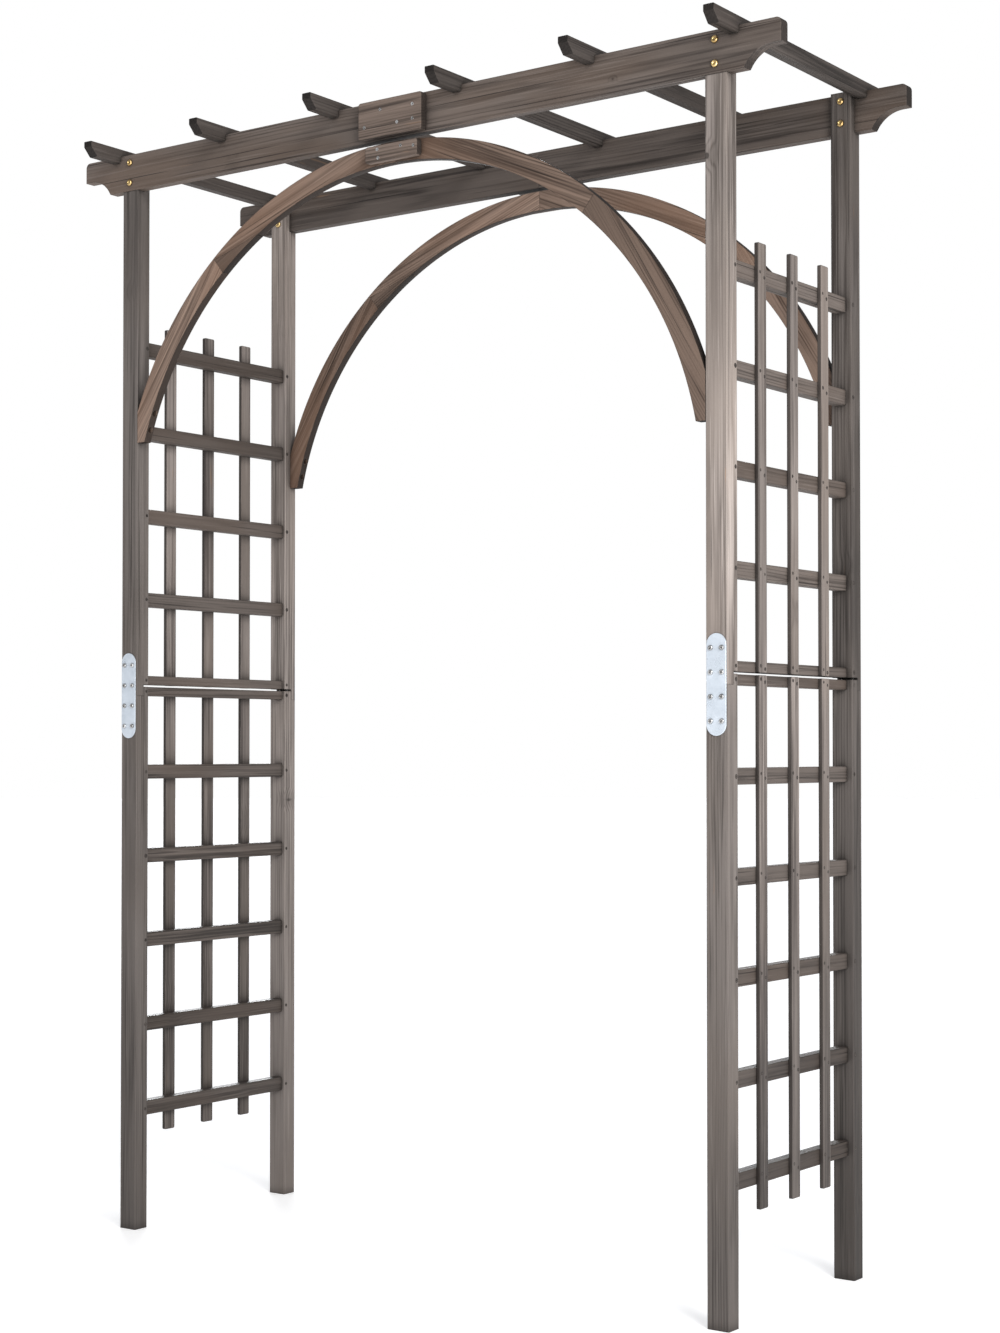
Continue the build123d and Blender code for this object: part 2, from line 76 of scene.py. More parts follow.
# short hands for building node trees
class Tree:
    def __init__(self, name):
        self.material = bpy.data.materials.new(name)
        self.material.use_nodes = True
        self.tree = self.material.node_tree
        self.tree.nodes.clear()

    def add(self, kind, inputs=None, **settings):
        node = self.tree.nodes.new("ShaderNode" + kind)
        for key, value in settings.items():
            setattr(node, key, value)
        for key, value in (inputs or {}).items():
            self.put(node.inputs[key], value)
        return node

    def put(self, socket, value):
        if isinstance(value, bpy.types.NodeSocket):
            self.tree.links.new(value, socket)
        elif value is not None:
            socket.default_value = value

    def math(self, operation, a, b=None, clamp=False):
        node = self.add("Math", operation=operation, use_clamp=clamp)
        for socket, value in zip(node.inputs, (a, b)):
            self.put(socket, value)
        return node.outputs[0]

    def vector(self, operation, a, b=None):
        node = self.add("VectorMath", operation=operation)
        self.put(node.inputs[0], a)
        self.put(node.inputs[1], b)
        return node.outputs["Value"] if operation in ("DOT_PRODUCT", "LENGTH") else node.outputs["Vector"]

    def spread(self, value, low, high, toLow=0.0, toHigh=1.0):
        node = self.add("MapRange", interpolation_type="SMOOTHSTEP")
        for key, number in zip(("Value", "From Min", "From Max", "To Min", "To Max"),
                               (value, low, high, toLow, toHigh)):
            self.put(node.inputs[key], number)
        return node.outputs["Result"]

    def mix(self, factor, a, b, blend="MIX"):
        node = self.add("Mix", data_type="RGBA", blend_type=blend)
        self.put(node.inputs[0], factor)
        for socket, value in zip([s for s in node.inputs if s.type == "RGBA"], (a, b)):
            self.put(socket, value if isinstance(value, bpy.types.NodeSocket) else (*value, 1.0))
        return [s for s in node.outputs if s.type == "RGBA"][0]

    def less(self, value, clamp=False):
        return self.math("SUBTRACT", 1.0, value, clamp)

    def noise(self, place, scale=1.0, detail=3.0, rough=0.55):
        node = self.add("TexNoise", {"Vector": place, "Scale": scale, "Detail": detail, "Roughness": rough})
        return node.outputs["Fac"]

    def finish(self, shader):
        output = self.add("OutputMaterial")
        self.tree.links.new(shader.outputs[0], output.inputs["Surface"])
        return self.material


# stained softwood: growth rings run solid through each board; lengths are in metres
timber = {
    "boardShift": (3.7, 7.9, 23.0),  # so that no two boards are cut from the same log
    "ringPitch": 0.0052,
    "ringPush": 11.0,
    "ringSharpness": 2.4,
    "ringStrength": (0.35, 1.0),
    "heartSpacing": 0.16,
    "waver": 0.018,
    "knotSpacing": (0.105, 0.105, 0.46),
    "knotShape": (0.3, 1.0, 0.8),
    "knotSize": 0.0075,
    "knotShare": 0.58,
    "knotRagged": 0.0028,
    "knotRim": 0.0012,
    "partingReach": 5.0,
    "partingPush": 0.007,
    "castStrength": 0.75,
    "fadeTones": (0.76, 1.2),
    # the colour darkens towards the bottom below this height, to the tone after it
    "darkensUpTo": 1.15,
    "bottomTone": 0.58,
    "endStrength": 0.9,
    "endRings": 0.6,
    "endTones": (0.6, 0.22),
    "easedRadius": 0.0026,
    # how far the painted shade in corners reaches
    "paintedShadeReach": 0.028,
    "reliefDepth": 0.0006,
    "reliefStrength": 0.5,
    "roughBetween": (0.2, 0.9),
    "roughness": (0.52, 0.84),
    "specular": 0.26,
    # how fine each pattern is, across the grain and along it
    "pattern": {"fibre": (330.0, 5.0), "streak": (62.0, 2.0), "blotch": (9.0, 2.4), "scuff": (75.0, 7.0),
                "lifted": (300.0, 6.5), "fade": (3.0, 1.3), "check": (240.0, 2.4), "uneven": (48.0, 0.9),
                "drift": (7.0, 1.5), "ragged": (160.0, 120.0), "rubbed": (60.0, 14.0)},
    # where each pattern begins to show, and where it shows in full
    "shows": {"check": (0.28, 0.34), "lifted": (0.58, 0.70), "scuff": (0.72, 0.79), "fade": (0.3, 0.7),
              "uneven": (0.3, 0.7), "stain": (0.30, 0.64), "blotch": (0.42, 0.68), "end": (0.28, 0.86),
              "arris": (0.03, 0.25), "rubbed": (0.50, 0.62), "paintedShade": (0.25, 0.92), "sides": (0.35, 0.75),
              "flats": (0.15, 0.6)},
    # how strongly each mark colours the board, and its tone as a share of the stain's own
    "marks": {"lifted": (0.42, 1.35), "scuff": (0.55, 1.0), "knot": (0.85, 0.34), "halo": (0.30, 0.9),
              "check": (0.7, 0.3), "arris": (0.65, 0.42), "rubbed": (0.6, 1.25), "paintedShade": (0.85, 0.3)},
    "takes": {"streak": 0.80, "fibre": 0.26, "ring": 0.17, "board": 0.14, "end": 0.4},
    "relief": {"fibre": 0.45, "ring": 0.35, "streak": 0.5, "check": 0.9, "knot": 0.4},
}
# pale is the worn fibre, deep the soaked late wood and cast the patches of another hue; the edge entries
# paint shade on the narrow sawn faces of slats and the curved faces of arches: which faces, how much, how
# dark
stains = {
    "post": {"pale": (0.330, 0.288, 0.264), "deep": (0.102, 0.085, 0.075), "cast": (0.268, 0.226, 0.199)},
    "beam": {"pale": (0.200, 0.164, 0.144), "deep": (0.059, 0.047, 0.041), "cast": (0.165, 0.119, 0.092)},
    "rafter": {"pale": (0.200, 0.168, 0.150), "deep": (0.058, 0.047, 0.041), "cast": (0.125, 0.100, 0.086)},
    "arch": {"pale": (0.300, 0.211, 0.163), "deep": (0.083, 0.055, 0.041), "cast": (0.225, 0.136, 0.092),
             "edges": "curves", "edgeDip": 0.94, "edgeTone": 0.22},
    "block": {"pale": (0.240, 0.182, 0.150), "deep": (0.067, 0.050, 0.041), "cast": (0.160, 0.118, 0.094)},
    "rung": {"pale": (0.250, 0.208, 0.184), "deep": (0.074, 0.060, 0.052), "cast": (0.185, 0.140, 0.114)},
    "slat": {"pale": (0.310, 0.268, 0.244), "deep": (0.095, 0.078, 0.070), "cast": (0.240, 0.198, 0.170),
             "edges": "sides", "edgeDip": 0.8, "edgeTone": 0.42},
}
scuffTone = (0.36, 0.225, 0.145)
grainAlong = {"X": (1, 0, 0), "Y": (0, 1, 0), "Z": (0, 0, 1)}


def toned(colour, share):
    return tuple(min(1.0, c * share) for c in colour)


def wood(name, stain, along, tone=1.0):
    t = Tree(name)
    shows, takes, relief = timber["shows"], timber["takes"], timber["relief"]
    pale, deep, cast = (toned(stain[part], tone) for part in ("pale", "deep", "cast"))
    along = Vector(along).normalized()
    aside = Vector((0, 1, 0)) if abs(along.y) < 0.5 else Vector((1, 0, 0))
    aside = (aside - along * aside.dot(along)).normalized()
    across = along.cross(aside)
    place = t.add("TexCoord").outputs["Object"]
    chance = t.add("ObjectInfo").outputs["Random"]
    runs = [t.vector("DOT_PRODUCT", place, tuple(direction)) for direction in (aside, across, along)]
    shifts = [t.math("MULTIPLY", chance, shift) for shift in timber["boardShift"]]
    runs = [t.math("ADD", run, shift) for run, shift in zip(runs, shifts)]
    board = t.add("CombineXYZ", dict(zip("XYZ", runs))).outputs[0]

    def stretched(kind):
        fine, alongGrain = timber["pattern"][kind]
        return t.vector("MULTIPLY", board, (fine, fine, alongGrain))

    def share(value, part):
        return t.math("MULTIPLY", value, part)

    def mark(colour, mask, kind, base):
        strength, toneShare = timber["marks"][kind]
        return t.mix(share(mask, strength), colour, toned(base, toneShare))

    # knots: thin branches that cross the board, with the grain parting round them
    spacing = timber["knotSpacing"]
    rim = timber["knotRim"]
    inCells = t.vector("DIVIDE", board, spacing)
    cells = t.add("TexVoronoi", {"Vector": inCells, "Scale": 1.0}, voronoi_dimensions="3D")
    away = t.vector("MULTIPLY", t.vector("SUBTRACT", inCells, cells.outputs["Position"]), spacing)
    away = t.vector("MULTIPLY", away, timber["knotShape"])
    wobble = share(t.noise(stretched("ragged"), detail=2), timber["knotRagged"])
    gap = t.math("ADD", t.vector("LENGTH", away), wobble)
    picks = t.add("SeparateColor", {"Color": cells.outputs["Color"]}).outputs
    size = share(t.spread(picks["Red"], timber["knotShare"], 1.0), timber["knotSize"])
    knot = t.less(t.spread(t.math("SUBTRACT", gap, size), -rim, rim), clamp=True)
    knotsAway = t.math("DIVIDE", gap, t.math("ADD", size, 0.0001))
    parting = t.less(t.spread(knotsAway, 1.0, timber["partingReach"]))

    # rings about a wandering heart, uneven in width and in strength
    drift = t.add("TexNoise", {"Vector": stretched("drift"), "Scale": 1.0, "Detail": 2.0}).outputs["Color"]
    drift = t.vector("MULTIPLY", t.vector("SUBTRACT", drift, (0.5, 0.5, 0.5)), (timber["waver"],) * 3)
    inHearts = (1 / timber["heartSpacing"],) * 2 + (0.0,)
    heartPlace = t.vector("MULTIPLY", t.vector("ADD", board, drift), inHearts)
    heart = t.add("TexVoronoi", {"Vector": heartPlace, "Scale": 1.0}, voronoi_dimensions="2D")
    distance = share(heart.outputs["Distance"], timber["heartSpacing"])
    distance = t.math("ADD", distance, share(parting, timber["partingPush"]))
    uneven = t.noise(stretched("uneven"), detail=2)
    phase = share(distance, 2 * math.pi / timber["ringPitch"])
    phase = t.math("ADD", phase, share(uneven, timber["ringPush"]))
    wave = share(t.math("ADD", t.math("SINE", phase), 1.0), 0.5)
    strength = t.spread(uneven, *shows["uneven"], *timber["ringStrength"])
    ring = t.math("MULTIPLY", t.math("POWER", wave, timber["ringSharpness"]), strength)

    fibre = t.noise(stretched("fibre"), detail=3, rough=0.6)
    streak = t.noise(stretched("streak"), detail=4, rough=0.6)
    blotch = t.noise(stretched("blotch"), detail=3, rough=0.5)
    check = t.less(t.spread(t.noise(stretched("check"), detail=2, rough=0.4), *shows["check"]))
    lifted = t.spread(t.noise(stretched("lifted"), detail=2, rough=0.45), *shows["lifted"])
    fade = t.spread(t.noise(stretched("fade"), detail=2), *shows["fade"], *timber["fadeTones"])
    scuff = t.spread(t.noise(stretched("scuff"), detail=2), *shows["scuff"])

    # how the stain took: deep in the late wood, pale on the worn fibres; the colour also darkens towards the
    # bottom
    take = t.math("ADD", share(streak, takes["streak"]), share(fibre, takes["fibre"]))
    take = t.math("SUBTRACT", take, share(ring, takes["ring"]))
    take = t.math("ADD", take, share(t.math("SUBTRACT", chance, 0.5), takes["board"]))
    colour = t.mix(t.spread(take, *shows["stain"]), deep, pale)
    colour = t.mix(t.spread(blotch, *shows["blotch"], 0.0, timber["castStrength"]), colour, cast)
    colour = mark(colour, lifted, "lifted", pale)
    colour = mark(colour, scuff, "scuff", toned(scuffTone, tone))
    height = t.add("SeparateXYZ", {"Vector": place}).outputs["Z"]
    fade = t.math("MULTIPLY", fade, t.spread(height, 0.0, timber["darkensUpTo"], timber["bottomTone"], 1.0))
    faded = t.add("CombineXYZ", {"X": fade, "Y": fade, "Z": fade}).outputs[0]
    colour = t.mix(1.0, colour, faded, blend="MULTIPLY")
    colour = mark(colour, knot, "knot", deep)
    colour = mark(colour, t.math("MULTIPLY", parting, t.less(knot)), "halo", deep)
    colour = mark(colour, check, "check", deep)

    # end grain drinks the stain and goes nearly black, and painted shade darkens the narrow sawn faces and
    # arch curves
    normal = t.add("NewGeometry").outputs["True Normal"]
    facing = t.math("ABSOLUTE", t.vector("DOT_PRODUCT", normal, tuple(along)))
    end = t.spread(facing, *shows["end"])
    paleEnd, deepEnd = (toned(deep, part) for part in timber["endTones"])
    endGrain = t.mix(share(wave, timber["endRings"]), paleEnd, deepEnd)
    colour = t.mix(share(end, timber["endStrength"]), colour, endGrain)
    if "edges" in stain:
        sideways = t.math("ABSOLUTE", t.vector("DOT_PRODUCT", normal, tuple(aside)))
        if stain["edges"] == "curves":  # flat faces look front and back, and the sawn curves everywhere else
            edgeways = t.less(t.spread(sideways, *shows["flats"]))
        else:
            edgeways = t.spread(sideways, *shows["sides"])
        # painted shade on those faces
        colour = t.mix(share(edgeways, stain["edgeDip"]), colour, toned(deep, stain["edgeTone"]))

    # arrises: the stain gathered there, and rubbed off again in places; painted shade in the corners and
    # between parts
    soft = t.add("Bevel", {"Radius": timber["easedRadius"]}, samples=4).outputs[0]
    arris = t.spread(t.less(t.vector("DOT_PRODUCT", soft, normal)), *shows["arris"])
    rubbed = t.spread(t.noise(stretched("rubbed")), *shows["rubbed"])
    colour = mark(colour, arris, "arris", deep)
    colour = mark(colour, t.math("MULTIPLY", arris, rubbed), "rubbed", pale)
    # painted shade: the colour darkens where other surfaces close round a point
    shade = t.add("AmbientOcclusion", {"Distance": timber["paintedShadeReach"]}, samples=6).outputs["AO"]
    colour = mark(colour, t.less(t.spread(shade, *shows["paintedShade"])), "paintedShade", deep)

    rise = t.math("ADD", share(fibre, relief["fibre"]), share(ring, relief["ring"]))
    rise = t.math("ADD", rise, share(streak, relief["streak"]))
    rise = t.math("SUBTRACT", rise, share(check, relief["check"]))
    rise = t.math("SUBTRACT", rise, share(knot, relief["knot"]))
    bump = t.add("Bump", {"Strength": timber["reliefStrength"], "Distance": timber["reliefDepth"],
                          "Height": rise, "Normal": soft})
    rough = t.math("ADD", take, share(end, takes["end"]))
    rough = t.spread(rough, *timber["roughBetween"], *timber["roughness"])
    shader = t.add("BsdfPrincipled", {"Base Color": colour, "Roughness": rough, "Normal": bump.outputs[0],
                                      "Specular IOR Level": timber["specular"]})
    return t.finish(shader)


# metals: dark and light are the clouds in the surface; two of the shares say how much a painted highlight
# lightens the edges and how much painted shade darkens the corners
metals = {
    "galvanised": {"name": "galvanised strap", "light": (0.77, 0.84, 0.92), "dark": (0.67, 0.74, 0.82),
                   "rough": (0.26, 0.40), "metallic": 0.55, "edge": 0.9, "paintedShade": 0.75, "spangle": 90},
    "zinc": {"name": "zinc screw", "light": (0.66, 0.66, 0.66), "dark": (0.34, 0.33, 0.32),
             "rough": (0.22, 0.42), "metallic": 1.0, "edge": 0.6, "paintedShade": 0.9},
    "brassy": {"name": "brass bolt", "light": (0.86, 0.64, 0.30), "dark": (0.46, 0.30, 0.12),
               "rough": (0.20, 0.38), "metallic": 1.0, "edge": 0.6, "paintedShade": 0.9},
    "nailSteel": {"name": "dulled nail", "light": (0.16, 0.14, 0.125), "dark": (0.035, 0.028, 0.024),
                  "rough": (0.42, 0.65), "metallic": 0.9, "edge": 0.3, "paintedShade": 0.8},
}
metalSkin = {
    "cloud": 38,
    "cloudShows": (0.32, 0.68),
    "speck": 420,
    "speckShare": 0.3,
    "spangleShare": 0.35,
    "easedRadius": 0.0007,
    # a painted highlight on the eased edges, then painted shade in the corners
    "edgeShows": (0.03, 0.3),
    "edgeTone": 1.3,
    "paintedShadeReach": 0.0035,
    "paintedShadeShows": (0.25, 0.85),
    "paintedShadeTone": 0.15,
    "roughBetween": (0.4, 0.9),
    "reliefStrength": 0.2,
    "reliefDepth": 0.0002,
}


def metal(look):
    t = Tree(look["name"])
    skin = metalSkin
    place = t.add("TexCoord").outputs["Object"]
    cloud = t.noise(place, scale=skin["cloud"], detail=5, rough=0.6)
    speck = t.noise(place, scale=skin["speck"], detail=2)
    tone = t.spread(cloud, *skin["cloudShows"])
    if "spangle" in look:
        flake = t.add("TexVoronoi", {"Vector": place, "Scale": look["spangle"]})
        tint = t.add("SeparateColor", {"Color": flake.outputs["Color"]}).outputs["Green"]
        tone = t.math("ADD", t.math("MULTIPLY", tone, 1 - skin["spangleShare"]),
                      t.math("MULTIPLY", tint, skin["spangleShare"]))
    colour = t.mix(tone, look["dark"], look["light"])
    normal = t.add("NewGeometry").outputs["True Normal"]
    soft = t.add("Bevel", {"Radius": skin["easedRadius"]}, samples=4).outputs[0]
    # painted highlight: the eased edges are lighter than the metal's own colour
    edge = t.spread(t.less(t.vector("DOT_PRODUCT", soft, normal)), *skin["edgeShows"])
    colour = t.mix(t.math("MULTIPLY", edge, look["edge"]), colour, toned(look["light"], skin["edgeTone"]))
    # painted shade in the corners and round the heads
    shade = t.add("AmbientOcclusion", {"Distance": skin["paintedShadeReach"]}, samples=6).outputs["AO"]
    paintedShade = t.less(t.spread(shade, *skin["paintedShadeShows"]))
    colour = t.mix(t.math("MULTIPLY", paintedShade, look["paintedShade"]), colour, toned(look["dark"], skin["paintedShadeTone"]))
    rough = t.math("ADD", cloud, t.math("MULTIPLY", speck, skin["speckShare"]))
    rough = t.spread(rough, *skin["roughBetween"], *look["rough"])
    bump = t.add("Bump", {"Strength": skin["reliefStrength"], "Distance": skin["reliefDepth"],
                          "Height": speck, "Normal": soft})
    shader = t.add("BsdfPrincipled", {"Base Color": colour, "Metallic": look["metallic"], "Roughness": rough,
                                      "Normal": bump.outputs[0]})
    return t.finish(shader)


# each board's tone is partly its own stain and partly painted shade for how light falls on it; the first
# start of a name that fits is the one used
boardStainAndShadeTones = {
    "front_beam_splice_plate": 0.75,
    "rear_beam_splice_plate": 0.7,
    "front_arch_splice_plate": 0.8,
    "rear_arch_splice_plate": 0.75,
    "front_right_post_upper": 0.98,
    "front_right_post_lower": 0.58,
    "rear_right_post_upper": 0.33,
    "rear_right_post_lower": 0.37,
    "front_left_post_upper": 0.43,
    "front_left_post_lower": 0.46,
    "rear_left_post_upper": 0.95,
    "rear_left_post_lower": 0.9,
    "front_beam": 0.74,
    "rear_beam": 0.43,
    "rafter": 0.38,
    "left_rungs": 0.46,
    "right_rungs": 0.45,
    "left_slat": 0.66,
    "right_slat": 0.74,
    "front_arch_upper_left": 0.88,
    "front_arch_lower_left": 1.0,
    "front_arch_upper_right": 0.62,
    "front_arch_lower_right": 0.46,
    "rear_arch_upper": 0.9,
    "rear_arch_lower": 0.72,
    "front_arch_wedge": 0.6,
    "rear_arch_wedge": 0.62,
}
woods = {}


def toneOf(node):
    return next(tone for start, tone in boardStainAndShadeTones.items() if node.startswith(start))


def dress(node, material):
    mesh = nodes[node].data
    mesh.materials.clear()
    mesh.materials.append(material)


def dressBoard(node, kind, along):
    tone = toneOf(node)
    key = (kind, tone, tuple(along))
    if key not in woods:
        woods[key] = wood(f"{kind} timber {len(woods) + 1}", stains[kind], along, tone)
    dress(node, woods[key])


def chord(node, slope):
    # an arch segment is sawn from a straight board, so its grain runs corner to corner
    low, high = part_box(node)
    run = high - low
    return (run.x, 0.0, slope * run.z)


for node in nodes:
    if "_post_" in node:
        dressBoard(node, "post", grainAlong["Z"])
    elif "_slat_" in node:
        dressBoard(node, "slat", grainAlong["Z"])
    elif "splice_plate" in node:
        dressBoard(node, "block", grainAlong["X"])
    elif "_beam_" in node:
        dressBoard(node, "beam", grainAlong["X"])
    elif node.startswith("rafter_") and "screws" not in node:
        dressBoard(node, "rafter", grainAlong["Y"])
    elif "rungs" in node:
        dressBoard(node, "rung", grainAlong["Y"])
    elif "_arch_" in node:
        dressBoard(node, "arch", chord(node, -1 if node.endswith("right") else 1))
print("boards dressed")


# every arch segment, wedge and rung gets its sharp edges taken off
arrises = {
    "arch": 0.0016,
    "rung": 0.0008,
    "segments": 2,
    "sharperThan": 38.0,  # degrees, as is the next
    "flatWithin": 0.6,
    "weld": 0.00002,
}


def easeEdges(node, width):
    piece = nodes[node]
    weld = piece.modifiers.new("weld", "WELD")
    weld.merge_threshold = arrises["weld"]
    flat = piece.modifiers.new("flat faces", "DECIMATE")
    flat.decimate_type = "DISSOLVE"
    flat.angle_limit = math.radians(arrises["flatWithin"])
    ease = piece.modifiers.new("eased edges", "BEVEL")
    ease.width = width
    ease.segments = arrises["segments"]
    ease.limit_method = "ANGLE"
    ease.angle_limit = math.radians(arrises["sharperThan"])
    ease.use_clamp_overlap = True


for node in nodes:
    if "_arch_" in node and "plate" not in node:
        easeEdges(node, arrises["arch"])
    elif "rungs" in node:
        easeEdges(node, arrises["rung"])
print("edges eased")


# screws, nails and bolts, drawn again at the places the frame gives; bruise is how far the timber round a
# head is crushed
fasteners = {
    "beam_bolts": {"head": 0.0065, "rise": 0.0040, "shank": 0.0030, "socket": "hex", "socketSize": 0.0030,
                   "socketDepth": 0.0024, "look": "brassy", "slot": "brass_hardware"},
    "mending_plate_screws": {"head": 0.0045, "rise": 0.0026, "shank": 0.0020, "socket": "cross",
                             "socketSize": 0.0026, "socketDepth": 0.0015, "look": "zinc",
                             "slot": "screw_steel"},
    "splice_screws": {"head": 0.0032, "rise": 0.0, "shank": 0.0017, "socket": "cross", "socketSize": 0.0020,
                      "socketDepth": 0.0012, "look": "zinc", "slot": "screw_steel"},
    "rafter_screws": {"head": 0.0040, "rise": 0.0, "shank": 0.0020, "socket": "cross", "socketSize": 0.0025,
                      "socketDepth": 0.0014, "look": "zinc", "slot": "screw_steel"},
    "rung_screws": {"head": 0.0024, "rise": 0.0, "shank": 0.0014, "socket": "cross", "socketSize": 0.0015,
                    "socketDepth": 0.0009, "look": "nailSteel", "slot": "screw_steel", "bruise": 0.0036},
    "slat_pins": {"head": 0.0014, "rise": 0.0, "shank": 0.0014, "socket": "dimple", "socketSize": 0.0006,
                  "socketDepth": 0.0002, "look": "nailSteel", "slot": "screw_steel", "bruise": 0.0029},
}
# what all heads have in common, mostly as shares of the head's or the socket's own size
headShape = {
    "turnSteps": 32,
    "proud": 0.00012,
    "lip": 0.97,
    "socketWalls": ((0.62, 1.0), (0.94, 0.9)),
    "socketRim": (1.07, 0.00008),
    "domeFrom": 1.12,
    "domeSteps": (0.30, 0.55, 0.75, 0.90, 0.98),
    "domePower": 2.3,
    "crossArm": 0.26,
    "domeFoot": ((1.0, 0.10), (0.99, 0.0)),
    "flatFoot": ((0.93, 1.0), (1.0, 0.3)),
    "pointFrom": 0.92,
    "point": 0.5,
    "endShare": 0.25,  # how much of a piece counts as its end
    "evenWithin": 0.00005,
    "bruiseFrom": 0.98,
    "bruiseVaries": (0.85, 1.15),
    "bruiseHeights": (0.00006, 0.00003),
    "weld": 0.00002,
}
handSeed = 7


def loosePieces(node):
    # the separate fasteners in one node, each as the list of its corners
    build = bmesh.new()
    build.from_mesh(nodes[node].data)
    bmesh.ops.remove_doubles(build, verts=build.verts, dist=headShape["weld"])
    build.verts.ensure_lookup_table()
    seen = set()
    pieces = []
    for vert in build.verts:
        if vert.index in seen:
            continue
        group, heap = [], [vert]
        seen.add(vert.index)
        while heap:
            here = heap.pop()
            group.append(nodes[node].matrix_world @ here.co)
            for link in here.link_edges:
                other = link.other_vert(here)
                if other.index not in seen:
                    seen.add(other.index)
                    heap.append(other)
        pieces.append(group)
    build.free()
    return pieces


def headAndPoint(corners, rise):
    # the axis is the long way of the piece, and the head is at its thicker end
    low = Vector([min(c[i] for c in corners) for i in range(3)])
    high = Vector([max(c[i] for c in corners) for i in range(3)])
    axis = max(range(3), key=lambda i: high[i] - low[i])
    centre = (low + high) / 2
    reach = high[axis] - low[axis]

    def thickness(end):
        nearEnd = [c - centre for c in corners if abs(c[axis] - end) < reach * headShape["endShare"]]
        for offset in nearEnd:
            offset[axis] = 0
        return max(offset.length for offset in nearEnd)

    thickLow, thickHigh = thickness(low[axis]), thickness(high[axis])
    if abs(thickLow - thickHigh) < headShape["evenWithin"]:
        headLow = centre[axis] < 0
    else:
        headLow = thickLow > thickHigh
    out = Vector((0, 0, 0))
    out[axis] = -1 if headLow else 1
    seat = centre.copy()
    seat[axis] = (low[axis] + rise) if headLow else (high[axis] - rise)
    return seat, out, reach - rise


def socketRadius(kind, size, angle):
    if kind == "hex":
        turn = (angle % (math.pi / 3)) - math.pi / 6
        return size * math.cos(math.pi / 6) / math.cos(turn)
    if kind == "cross":
        turn = abs((angle + math.pi / 4) % (math.pi / 2) - math.pi / 4)
        arm = size * headShape["crossArm"]
        return size / math.cos(turn) if size * math.tan(turn) <= arm else arm / math.sin(turn)
    return size


def headProfile(form):
    # rings from the middle of the socket outwards, then down the head to the shank
    head, rise, shank = form["head"], form["rise"], form["shank"]
    socket, deep = form["socketSize"], form["socketDepth"]
    top = rise if rise else headShape["proud"]
    lip = top * headShape["lip"] if rise else top
    rimWidth, rimDepth = headShape["socketRim"]
    rings = [("socket", width, lip - deep * depth) for width, depth in headShape["socketWalls"]]
    rings += [("socket", 1.0, lip - rimDepth), ("socket", rimWidth, lip)]
    if rise:
        widest = socket * headShape["domeFrom"]
        for step in headShape["domeSteps"]:
            fall = step ** headShape["domePower"]
            rings.append(("round", widest + (head - widest) * step, lip * math.sqrt(1 - fall)))
        rings += [("round", head * width, rise * height) for width, height in headShape["domeFoot"]]
        rings.append(("round", shank, 0.0))
    else:
        rings += [("round", head * width, top * height) for width, height in headShape["flatFoot"]]
        rings += [("round", head, -0.0001), ("round", shank, -max(0.0002, head - shank))]
    return rings


def addRing(build, stand, spec, form):
    kind, size, height = spec
    ring = []
    for step in range(headShape["turnSteps"]):
        angle = 2 * math.pi * step / headShape["turnSteps"]
        radius = size * socketRadius(form["socket"], form["socketSize"], angle) if kind == "socket" else size
        swung = angle + stand["turnBy"]
        ring.append(build.verts.new(stand["seat"] + stand["right"] * (radius * math.cos(swung))
                                    + stand["up"] * (radius * math.sin(swung)) + stand["out"] * height))
    return ring


def bridge(build, inner, outer, skin):
    for step in range(headShape["turnSteps"]):
        after = (step + 1) % headShape["turnSteps"]
        face = build.faces.new((inner[step], outer[step], outer[after], inner[after]))
        face.material_index = skin
        face.smooth = True


def drawOne(build, corners, form, dice):
    seat, out, length = headAndPoint(corners, form["rise"])
    right = out.orthogonal().normalized()
    stand = {"seat": seat, "out": out, "right": right, "up": out.cross(right),
             "turnBy": dice.uniform(0, math.pi)}
    profile = headProfile(form) + [("round", form["shank"], -length * headShape["pointFrom"]),
                                   ("round", form["shank"] * headShape["point"], -length)]
    rings = [addRing(build, stand, spec, form) for spec in profile]
    build.faces.new(rings[0])
    build.faces.new(list(reversed(rings[-1])))
    for inner, outer in zip(rings, rings[1:]):
        bridge(build, inner, outer, 0)
    if "bruise" in form:
        # timber crushed and stained round the head, level with the face
        grow = dice.uniform(*headShape["bruiseVaries"])
        nearHeight, farHeight = headShape["bruiseHeights"]
        near = addRing(build, stand, ("round", form["head"] * headShape["bruiseFrom"], nearHeight), form)
        far = addRing(build, stand, ("round", form["bruise"] * grow, farHeight), form)
        bridge(build, near, far, 1)


def drawFasteners(node, form, dice):
    build = bmesh.new()
    for corners in loosePieces(node):
        drawOne(build, corners, form, dice)
    bmesh.ops.recalc_face_normals(build, faces=build.faces)
    mesh = bpy.data.meshes.new(node + "_detailed")
    build.to_mesh(mesh)
    build.free()
    piece = bpy.data.objects.new(node + "_detailed", mesh)
    bpy.context.scene.collection.objects.link(piece)
    mesh.materials.append(finishes[form["look"]])
    mesh.materials.append(bruised)
    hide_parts(node)
    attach(piece, "root")


def bruisedWood():
    t = Tree("bruised timber")
    place = t.add("TexCoord").outputs["Object"]
    tone = t.spread(t.noise(place, scale=900, detail=3), 0.3, 0.7)
    colour = t.mix(tone, (0.012, 0.009, 0.008), (0.040, 0.031, 0.026))
    bump = t.add("Bump", {"Strength": 0.3, "Distance": 0.0003, "Height": tone})
    return t.finish(t.add("BsdfPrincipled", {"Base Color": colour, "Normal": bump.outputs[0],
                                             "Roughness": t.spread(tone, 0.0, 1.0, 0.7, 0.9)}))


finishes = {kind: metal(look) for kind, look in metals.items()}
bruised = bruisedWood()
dice = random.Random(handSeed)
for node, form in fasteners.items():
    drawFasteners(node, form, dice)
for node in nodes:
    if node.endswith("mending_plate"):
        dress(node, finishes["galvanised"])
dress("beam_nuts", finishes["brassy"])
dress("arch_screws", finishes["zinc"])
print("metalwork drawn")


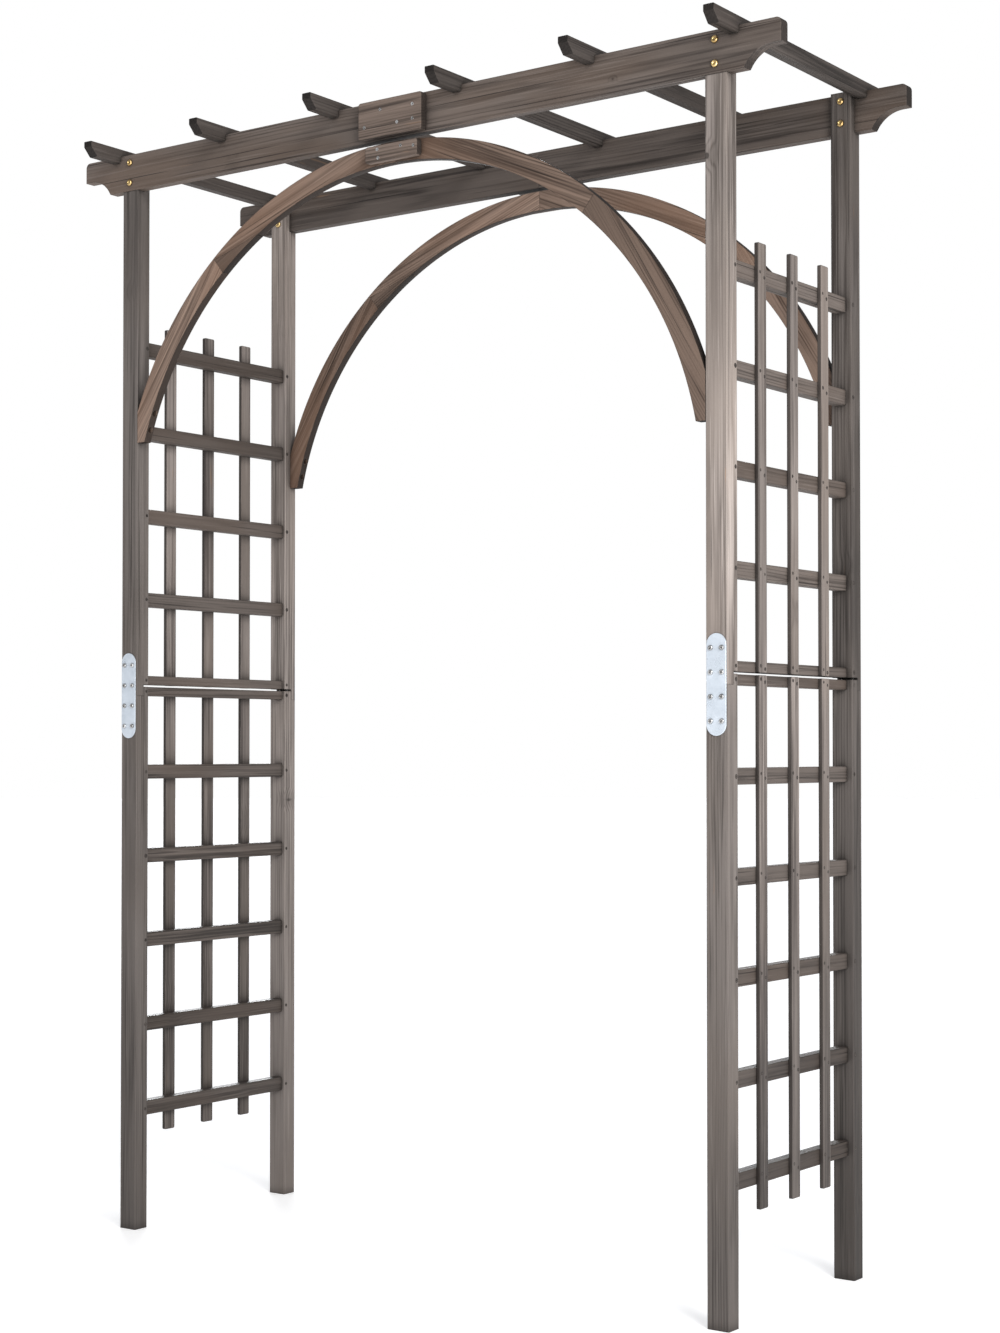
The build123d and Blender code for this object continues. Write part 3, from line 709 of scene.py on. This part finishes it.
# a plain pale floor under soft studio light
studio = {
    "floorTone": (0.96, 0.96, 0.96),
    "floorGlow": 0.30,
    "floorRadius": 40.0,
    "floorCloud": 1.6,
    "floorDullest": 0.99,
    "seenSky": (1.0, 1.0, 1.0),
    "skyLight": (0.42, 0.425, 0.44),
    "sunFrom": (0.72, -0.52, 0.62),
    "sunPower": 1.15,
    "sunTone": (1.0, 0.985, 0.965),
    "sunSpread": 24.0,
    "sunAway": 6,
    "lampAt": (2.3, -1.2, 1.6),
    "lampPower": 150.0,
    "lampTone": (1.0, 0.99, 0.98),
    "lampSize": 0.6,
    "backFrom": (-0.62, 0.66, 0.42),
    "backPower": 2.0,
    "backTone": (0.96, 0.98, 1.0),
    "aimAt": (0, 0, 1.1),
}


def layFloor():
    mesh = bpy.data.meshes.new("studioFloor")
    build = bmesh.new()
    bmesh.ops.create_circle(build, cap_ends=True, segments=96, radius=studio["floorRadius"])
    build.to_mesh(mesh)
    build.free()
    floor = bpy.data.objects.new("studioFloor", mesh)
    bpy.context.scene.collection.objects.link(floor)
    t = Tree("studio floor")
    place = t.add("TexCoord").outputs["Object"]
    cloud = t.noise(place, scale=studio["floorCloud"], detail=4)
    tone = t.spread(cloud, 0.3, 0.7, studio["floorDullest"], 1.0)
    tones = t.add("CombineXYZ", {"X": tone, "Y": tone, "Z": tone}).outputs[0]
    colour = t.mix(1.0, studio["floorTone"], tones, blend="MULTIPLY")
    mesh.materials.append(t.finish(t.add("BsdfPrincipled", {
        "Base Color": colour, "Roughness": 0.9, "Specular IOR Level": 0.1,
        "Emission Color": (1.0, 1.0, 1.0, 1.0), "Emission Strength": studio["floorGlow"]})))


def aimFrom(lamp, direction):
    place = Vector(direction) * studio["sunAway"]
    lamp.location = place
    lamp.rotation_euler = (Vector(studio["aimAt"]) - place).to_track_quat("-Z", "Y").to_euler()


def addLamp(name, kind, power, tone):
    lamp = bpy.data.objects.new(name, bpy.data.lights.new(name, kind))
    bpy.context.scene.collection.objects.link(lamp)
    lamp.data.energy = power
    lamp.data.color = tone
    return lamp


def lightStudio():
    # the sky is white to look at, and dimmer as a light, so that the timber keeps its shading
    world = bpy.data.worlds.new("studio")
    bpy.context.scene.world = world
    world.use_nodes = True
    tree = world.node_tree
    seen = tree.nodes["Background"]
    seen.inputs["Color"].default_value = (*studio["seenSky"], 1.0)
    light = tree.nodes.new("ShaderNodeBackground")
    light.inputs["Color"].default_value = (*studio["skyLight"], 1.0)
    rays = tree.nodes.new("ShaderNodeLightPath")
    either = tree.nodes.new("ShaderNodeMixShader")
    tree.links.new(rays.outputs["Is Camera Ray"], either.inputs[0])
    tree.links.new(light.outputs[0], either.inputs[1])
    tree.links.new(seen.outputs[0], either.inputs[2])
    tree.links.new(either.outputs[0], tree.nodes["World Output"].inputs["Surface"])
    keySun = addLamp("keySun", "SUN", studio["sunPower"], studio["sunTone"])
    sideLamp = addLamp("sideLamp", "POINT", studio["lampPower"], studio["lampTone"])
    backSun = addLamp("backSun", "SUN", studio["backPower"], studio["backTone"])
    for sun, direction in ((keySun, "sunFrom"), (backSun, "backFrom")):
        sun.data.angle = math.radians(studio["sunSpread"])
        aimFrom(sun, studio[direction])
    sideLamp.data.shadow_soft_size = studio["lampSize"]
    sideLamp.location = studio["lampAt"]
    bpy.context.scene.view_settings.view_transform = "Standard"


layFloor()
lightStudio()
print("studio lit")
